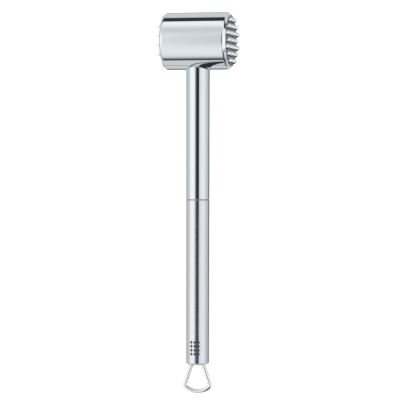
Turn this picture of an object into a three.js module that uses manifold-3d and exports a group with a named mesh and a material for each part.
// Steel meat mallet: a round head with a coarse and a fine striking face, a tubular handle
// held together by a tie rod, and a wire loop that swings in the handle's end cap.
// Millimetres, +Z up. The mallet lies on its side as it would on a worktop: the head's axis is X
// with the coarse face towards +X, the handle runs from the head towards -Y, and the head's side
// and the end of the grip rest on z = 0. The loop is in line with the handle. The origin is under
// the middle of the mallet.

import * as THREE from "three";
import { mergeVertices } from "three/addons/utils/BufferGeometryUtils.js";
import Module from "manifold-3d";

const wasm = await Module();
wasm.setup();

// ---------------------------------------------------------------- driving dimensions

const GAP = 0.3; // left between pieces that touch
const OVERRUN = 1; // how far a cutter reaches past the face it opens

const HEAD_RADIUS = 20;
const HEAD_LENGTH = 47.5; // over the two rims
const HEAD_BEVEL = 1.7;
const PLATE_RADIUS = 17.5;
const PLATE_THICKNESS = 3;
const ROD_HOLE_TOP = 5.5; // closed end of the rod's hole, from the head's centre
const BUSH_SEAT_RADIUS = 5;
const BUSH_SEAT_TOP = 17; // bottom of the seat cut in the head's side, from the head's centre

// Coarse face: blunt studs on a square lattice turned by 45 degrees.
const STUD_STEP = 4.76; // half the lattice's diagonal
const STUD_RANGE = 3; // steps from the middle to the outermost studs
const STUD_REACH = 10; // largest i*i + j*j that still has a stud
const STUD_BASE_RADIUS = 2.2;
const STUD_HEIGHT = 2.8;
const STUD_TIP_RADIUS = 0.9; // rounding between the stud's flank and its flat tip
const STUD_FLAT_RADIUS = 0.45;
const STUD_FLANK = THREE.MathUtils.degToRad(22); // flank's lean from the stud's axis

// Fine face: pointed spikes in four rows of five.
const SPIKE_PITCH = 6.4;
const SPIKE_ROWS = 4;
const SPIKE_COLUMNS = 5;
const SPIKE_BASE_RADIUS = 1.5;
const SPIKE_TIP_RADIUS = 0.35;
const SPIKE_HEIGHT = 2.6;

const ROOT_DEPTH = 0.6; // studs and spikes start this far inside their plate

// Places along the handle are distances from the head's centre.
const SHAFT_RADIUS = 8.31; // beside the head
const END_RADIUS = 8.13; // at the end of the grip
const TUBE_BORE = 6.8;
const SEAM = 111.2;
const SEAM_COLLAR_WIDTH = 0.5;
const SEAM_COLLAR_RADIUS = 7.9;
const GRIP_END = 225.6;
const CAP_END = 227.2;
const CAP_BEVEL_WIDTH = 2.6;
const CAP_SPIGOT_START = 217.5;

const SLEEVE_HALF_LENGTH = 17;
const SLEEVE_BORE = 4.5;
const SHAFT_BUSH_END = 34;
const SHAFT_BUSH_NECK = 4.7; // radius of the neck that sits in the head

const ROD_RADIUS = 3;
const ROD_START = 6;
const ROD_END = 214.5;
const CLAMP_PLUG_START = 196;
const CLAMP_PLUG_END = 206;
const WASHER_RADIUS = 5.5;
const WASHER_THICKNESS = 1.4;
const NUT_ACROSS_FLATS = 10;
const NUT_HEIGHT = 5;

// Hanging loop: one wire whose ends turn in and sit in a cross hole of the end cap.
const WIRE_RADIUS = 1.5;
const PIVOT_DEPTH = 3.6; // pivot below the cap's end face
const LEG_AT_PIVOT = 3.1; // sideways place of a leg's line at the pivot
const LEG_SPLAY = THREE.MathUtils.degToRad(18.6);
const LOOP_LENGTH = 22.25; // pivot to the middle of the wire at the far end
const LOOP_END_RADIUS = 12.4;
const LOOP_CORNER_RADIUS = 2.2;
const LOOP_BEND_RADIUS = 1.8;
const WIRE_END_SPACE = 0.3; // half the space between the two wire ends
const SLOT_INNER = 1.35;
const SLOT_OUTER = 6.8;
const SLOT_HALF_HEIGHT = 3.6;
const SLOT_CLEARANCE = 0.4; // behind the wire's bend

const HEAD_SEGMENTS = 96;
const HANDLE_SEGMENTS = 48;
const STUD_SEGMENTS = 12;
const WIRE_SEGMENTS = 12;
const WIRE_STEPS = 84;

// ---------------------------------------------------------------- materials

function steel(color, roughness) {
  return new THREE.MeshStandardMaterial({ color, roughness, metalness: 1 });
}

const polishedSteel = () => steel(0xd9dde4, 0.12);
const satinSteel = () => steel(0xc3c6cc, 0.38);
const castSteel = () => steel(0xb9bdc4, 0.3);
const plainSteel = () => steel(0x9a9ea4, 0.5);

// ---------------------------------------------------------------- shape helpers

// A three.js geometry as a solid that can be joined and cut.
function solid(geometry) {
  const bare = geometry.clone();
  bare.deleteAttribute("normal");
  bare.deleteAttribute("uv");
  const merged = mergeVertices(bare, 1e-4);
  return new wasm.Manifold(
    new wasm.Mesh({
      numProp: 3,
      vertProperties: merged.attributes.position.array,
      triVerts: new Uint32Array(merged.index.array),
    }),
  );
}

function geometryOf(body) {
  const mesh = body.getMesh();
  const geometry = new THREE.BufferGeometry();
  const positions = new THREE.BufferAttribute(mesh.vertProperties, 3);
  geometry.setAttribute("position", positions);
  geometry.setIndex(new THREE.BufferAttribute(mesh.triVerts, 1));
  geometry.computeVertexNormals();
  return geometry;
}

// A solid turned about the handle's axis. The profile lists [distance along the handle, radius].
function turned(profile, segments = HANDLE_SEGMENTS) {
  const points = profile.map(([along, radius]) => new THREE.Vector2(radius, -along));
  return solid(new THREE.LatheGeometry(points.reverse(), segments));
}

// A solid turned about the head's axis. The profile lists [distance along +X, radius].
function turnedOnHead(profile, segments = HEAD_SEGMENTS) {
  const points = profile.map(([along, radius]) => new THREE.Vector2(radius, along));
  const geometry = new THREE.LatheGeometry(points, segments);
  geometry.rotateZ(-Math.PI / 2);
  return solid(geometry);
}

// A round bar or plug along the handle, as a profile for turned().
function bar(start, end, radius) {
  return [
    [start, 0],
    [start, radius],
    [end, radius],
    [end, 0],
  ];
}

// A tube along the handle, as a closed profile for turned(); its outside may taper.
function tube(start, end, startRadius, endRadius, bore) {
  return [
    [start, bore],
    [start, startRadius],
    [end, endRadius],
    [end, bore],
    [start, bore],
  ];
}

function block(lowX, highX, near, far, halfHeight) {
  const geometry = new THREE.BoxGeometry(highX - lowX, far - near, 2 * halfHeight);
  geometry.translate((lowX + highX) / 2, -(near + far) / 2, 0);
  return solid(geometry);
}

function cylinderAlongX(length, radius, along, segments) {
  const geometry = new THREE.CylinderGeometry(radius, radius, length, segments);
  geometry.rotateZ(Math.PI / 2);
  geometry.translate(0, -along, 0);
  return solid(geometry);
}

// Outside radius of the handle, which tapers evenly from the head to the end of the grip.
function handleRadius(along) {
  return THREE.MathUtils.mapLinear(along, HEAD_RADIUS, GRIP_END, SHAFT_RADIUS, END_RADIUS);
}

// ---------------------------------------------------------------- head

const rodClearance = ROD_RADIUS + GAP;
const faceX = HEAD_LENGTH / 2;

function headBody() {
  const floorX = faceX - PLATE_THICKNESS - GAP;
  const recess = PLATE_RADIUS + GAP;
  const half = [
    [floorX, 0],
    [floorX, recess],
    [faceX, recess],
    [faceX, HEAD_RADIUS - HEAD_BEVEL],
    [faceX - HEAD_BEVEL, HEAD_RADIUS],
  ];
  const otherHalf = half.map(([along, radius]) => [-along, radius]);
  const blank = turnedOnHead([...otherHalf, ...half.reverse()]);
  const rodHole = turned(bar(ROD_HOLE_TOP, HEAD_RADIUS + OVERRUN, rodClearance));
  const bushSeat = turned(bar(BUSH_SEAT_TOP, HEAD_RADIUS + OVERRUN, BUSH_SEAT_RADIUS));
  return blank.subtract(rodHole).subtract(bushSeat);
}

function plateDisc() {
  const backX = faceX - PLATE_THICKNESS;
  return turnedOnHead([
    [backX, 0],
    [backX, PLATE_RADIUS],
    [faceX, PLATE_RADIUS],
    [faceX, 0],
  ]);
}

// A blunt stud standing on the coarse face: a cone, a rounded shoulder and a small flat tip.
function studProfile() {
  const shoulder = [];
  const arcSteps = 3;
  for (let i = 0; i <= arcSteps; i++) {
    const angle = THREE.MathUtils.mapLinear(i, 0, arcSteps, STUD_FLANK, Math.PI / 2);
    shoulder.push([
      faceX + STUD_HEIGHT - STUD_TIP_RADIUS * (1 - Math.sin(angle)),
      STUD_FLAT_RADIUS + STUD_TIP_RADIUS * Math.cos(angle),
    ]);
  }
  return [
    [faceX - ROOT_DEPTH, 0],
    [faceX - ROOT_DEPTH, STUD_BASE_RADIUS],
    [faceX, STUD_BASE_RADIUS],
    ...shoulder,
    [faceX + STUD_HEIGHT, 0],
  ];
}

function coarseFacePlate() {
  const stud = turnedOnHead(studProfile(), STUD_SEGMENTS);
  let plate = plateDisc();
  for (let i = -STUD_RANGE; i <= STUD_RANGE; i++) {
    for (let j = -STUD_RANGE; j <= STUD_RANGE; j++) {
      const onLattice = (i + j) % 2 === 0;
      if (onLattice && i * i + j * j <= STUD_REACH) {
        plate = plate.add(stud.translate([0, i * STUD_STEP, j * STUD_STEP]));
      }
    }
  }
  return plate;
}

// Modelled towards +X like the coarse plate, then turned about the handle to face -X.
function fineFacePlate() {
  const spike = turnedOnHead(
    [
      [faceX - ROOT_DEPTH, 0],
      [faceX - ROOT_DEPTH, SPIKE_BASE_RADIUS],
      [faceX, SPIKE_BASE_RADIUS],
      [faceX + SPIKE_HEIGHT, SPIKE_TIP_RADIUS],
      [faceX + SPIKE_HEIGHT, 0],
    ],
    STUD_SEGMENTS,
  );
  let plate = plateDisc();
  for (let row = 0; row < SPIKE_ROWS; row++) {
    for (let column = 0; column < SPIKE_COLUMNS; column++) {
      const y = (row - (SPIKE_ROWS - 1) / 2) * SPIKE_PITCH;
      const z = (column - (SPIKE_COLUMNS - 1) / 2) * SPIKE_PITCH;
      plate = plate.add(spike.translate([0, y, z]));
    }
  }
  return plate.rotate([0, 180, 0]);
}

// ---------------------------------------------------------------- handle

// Its end is cut to the head's round side.
function shaftTube() {
  const end = SEAM - SEAM_COLLAR_WIDTH / 2 - GAP;
  const start = HEAD_RADIUS - 2 * HEAD_BEVEL;
  const blank = turned(tube(start, end, handleRadius(start), handleRadius(end), TUBE_BORE));
  const saddle = cylinderAlongX(HEAD_LENGTH, HEAD_RADIUS + GAP, 0, HEAD_SEGMENTS);
  return blank.subtract(saddle);
}

function gripTube() {
  const start = SEAM + SEAM_COLLAR_WIDTH / 2 + GAP;
  return turned(tube(start, GRIP_END, handleRadius(start), END_RADIUS, TUBE_BORE));
}

// A sleeve inside both tubes; its thin collar shows between them as the seam's groove.
function couplingSleeve() {
  const radius = TUBE_BORE - GAP;
  const collarStart = SEAM - SEAM_COLLAR_WIDTH / 2;
  const collarEnd = SEAM + SEAM_COLLAR_WIDTH / 2;
  const start = SEAM - SLEEVE_HALF_LENGTH;
  const end = SEAM + SLEEVE_HALF_LENGTH;
  return turned([
    [start, SLEEVE_BORE],
    [start, radius],
    [collarStart, radius],
    [collarStart, SEAM_COLLAR_RADIUS],
    [collarEnd, SEAM_COLLAR_RADIUS],
    [collarEnd, radius],
    [end, radius],
    [end, SLEEVE_BORE],
    [start, SLEEVE_BORE],
  ]);
}

// Centres the shaft tube on the head and the tie rod in the tube.
function shaftBush() {
  const neckStart = BUSH_SEAT_TOP + GAP;
  const bodyStart = HEAD_RADIUS + GAP;
  return turned([
    [neckStart, rodClearance],
    [neckStart, SHAFT_BUSH_NECK],
    [bodyStart, SHAFT_BUSH_NECK],
    [bodyStart, TUBE_BORE - GAP],
    [SHAFT_BUSH_END, TUBE_BORE - GAP],
    [SHAFT_BUSH_END, rodClearance],
    [neckStart, rodClearance],
  ]);
}

function clampPlug() {
  const radius = TUBE_BORE - GAP;
  return turned(tube(CLAMP_PLUG_START, CLAMP_PLUG_END, radius, radius, rodClearance));
}

function lockWasher() {
  const start = CLAMP_PLUG_END + GAP;
  const end = start + WASHER_THICKNESS;
  return turned(tube(start, end, WASHER_RADIUS, WASHER_RADIUS, rodClearance));
}

function rodNut() {
  const start = CLAMP_PLUG_END + GAP + WASHER_THICKNESS + GAP;
  const cornerRadius = NUT_ACROSS_FLATS / Math.sqrt(3);
  const hexagon = turned(bar(start, start + NUT_HEIGHT, cornerRadius), 6);
  const hole = turned(bar(start - OVERRUN, start + NUT_HEIGHT + OVERRUN, rodClearance));
  return hexagon.subtract(hole);
}

// ---------------------------------------------------------------- end cap and loop

const pivotAlong = CAP_END - PIVOT_DEPTH;

// A bevelled cap with a spigot in the grip tube. Two slots leave a lug between them, and the
// wire ends of the loop sit in the lug's cross hole.
function endCap() {
  const flangeStart = GRIP_END + GAP;
  const blank = turned([
    [CAP_SPIGOT_START, 0],
    [CAP_SPIGOT_START, TUBE_BORE - GAP],
    [flangeStart, TUBE_BORE - GAP],
    [flangeStart, END_RADIUS],
    [CAP_END, END_RADIUS - CAP_BEVEL_WIDTH],
    [CAP_END, 0],
  ]);
  const slotStart = pivotAlong - WIRE_RADIUS - SLOT_CLEARANCE;
  const slotEnd = CAP_END + OVERRUN;
  const right = block(SLOT_INNER, SLOT_OUTER, slotStart, slotEnd, SLOT_HALF_HEIGHT);
  const left = block(-SLOT_OUTER, -SLOT_INNER, slotStart, slotEnd, SLOT_HALF_HEIGHT);
  const crossHole = cylinderAlongX(
    2 * SLOT_INNER + OVERRUN,
    WIRE_RADIUS + GAP,
    pivotAlong,
    WIRE_SEGMENTS * 2,
  );
  return blank.subtract(right).subtract(left).subtract(crossHole);
}

// The loop's outline on its right-hand side, from the wire's end at the pivot to the middle of
// the far end. x is sideways and y is the distance from the pivot.
function loopSide() {
  const legDirection = new THREE.Vector2(Math.sin(LEG_SPLAY), Math.cos(LEG_SPLAY));
  const inward = new THREE.Vector2(-legDirection.y, legDirection.x);
  const legOrigin = new THREE.Vector2(LEG_AT_PIVOT, 0);

  // The bend between the wire's end and the leg.
  const turnAngle = Math.PI / 2 - LEG_SPLAY;
  const bendSetback = LOOP_BEND_RADIUS * Math.tan(turnAngle / 2);
  const bendCentre = new THREE.Vector2(LEG_AT_PIVOT - bendSetback, LOOP_BEND_RADIUS);

  // The corner between the leg and the far end's arc touches both from inside.
  const arcCentre = new THREE.Vector2(0, LOOP_LENGTH - LOOP_END_RADIUS);
  const offsetOrigin = legOrigin.clone().addScaledVector(inward, LOOP_CORNER_RADIUS);
  const fromCentre = offsetOrigin.clone().sub(arcCentre);
  const along = fromCentre.dot(legDirection);
  const reach = LOOP_END_RADIUS - LOOP_CORNER_RADIUS;
  const distance = -along + Math.sqrt(along * along - fromCentre.lengthSq() + reach * reach);
  const cornerCentre = offsetOrigin.clone().addScaledVector(legDirection, distance);
  const arcAngle = cornerCentre.clone().sub(arcCentre).angle();

  const path = new THREE.Path();
  path.moveTo(WIRE_END_SPACE, 0);
  path.lineTo(LEG_AT_PIVOT - bendSetback, 0);
  path.absarc(bendCentre.x, bendCentre.y, LOOP_BEND_RADIUS, -Math.PI / 2, -LEG_SPLAY, false);
  path.absarc(cornerCentre.x, cornerCentre.y, LOOP_CORNER_RADIUS, -LEG_SPLAY, arcAngle, false);
  path.absarc(arcCentre.x, arcCentre.y, LOOP_END_RADIUS, arcAngle, Math.PI / 2, false);
  return path;
}

// The loop lies in the plane of the handle.
function hangingLoop() {
  const sidePoints = loopSide().getSpacedPoints(WIRE_STEPS / 2);
  const right = sidePoints.map((p) => new THREE.Vector3(p.x, -p.y, 0));
  const left = sidePoints.slice(0, -1).map((p) => new THREE.Vector3(-p.x, -p.y, 0));
  const path = new THREE.CatmullRomCurve3([...right, ...left.reverse()], false, "centripetal");
  const section = new THREE.Shape();
  section.absarc(0, 0, WIRE_RADIUS, 0, 2 * Math.PI, false);
  const geometry = new THREE.ExtrudeGeometry(section, {
    steps: WIRE_STEPS,
    curveSegments: WIRE_SEGMENTS / 2, // a full circle gets twice as many
    extrudePath: path,
  });
  return solid(geometry);
}

// ---------------------------------------------------------------- assembly

const mallet = new THREE.Group();

function place(name, body, material, parent) {
  const mesh = new THREE.Mesh(geometryOf(body), material);
  mesh.name = name;
  parent.add(mesh);
  return mesh;
}

// The handle's frame: the head's centre at its origin, the handle along -Y.
const tool = new THREE.Group();
mallet.add(tool);

place("head_body", headBody(), polishedSteel(), tool);
place("coarse_face_plate", coarseFacePlate(), castSteel(), tool);
place("fine_face_plate", fineFacePlate(), castSteel(), tool);
place("shaft_bush", shaftBush(), plainSteel(), tool);
place("shaft_tube", shaftTube(), polishedSteel(), tool);
place("coupling_sleeve", couplingSleeve(), plainSteel(), tool);
place("grip_tube", gripTube(), satinSteel(), tool);
place("tie_rod", turned(bar(ROD_START, ROD_END, ROD_RADIUS)), plainSteel(), tool);
place("clamp_plug", clampPlug(), plainSteel(), tool);
place("lock_washer", lockWasher(), plainSteel(), tool);
place("rod_nut", rodNut(), plainSteel(), tool);
place("end_cap", endCap(), satinSteel(), tool);
const loop = place("hanging_loop", hangingLoop(), polishedSteel(), tool);

// The handle tilts until the end of the grip meets the plane that the head lies on.
const edgeAlong = GRIP_END + GAP;
const tilt =
  Math.asin(HEAD_RADIUS / Math.hypot(edgeAlong, END_RADIUS)) - Math.atan2(END_RADIUS, edgeAlong);
tool.rotation.x = tilt;
tool.position.z = HEAD_RADIUS;

// The loop turns about the cross hole; it is stored in line with the handle.
loop.position.y = -pivotAlong;

// The origin is at the middle of the mallet's outline, seen from above.
mallet.updateMatrixWorld(true);
const middle = new THREE.Box3().setFromObject(mallet, true).getCenter(new THREE.Vector3());
tool.position.x = -middle.x;
tool.position.y = -middle.y;

export default mallet;
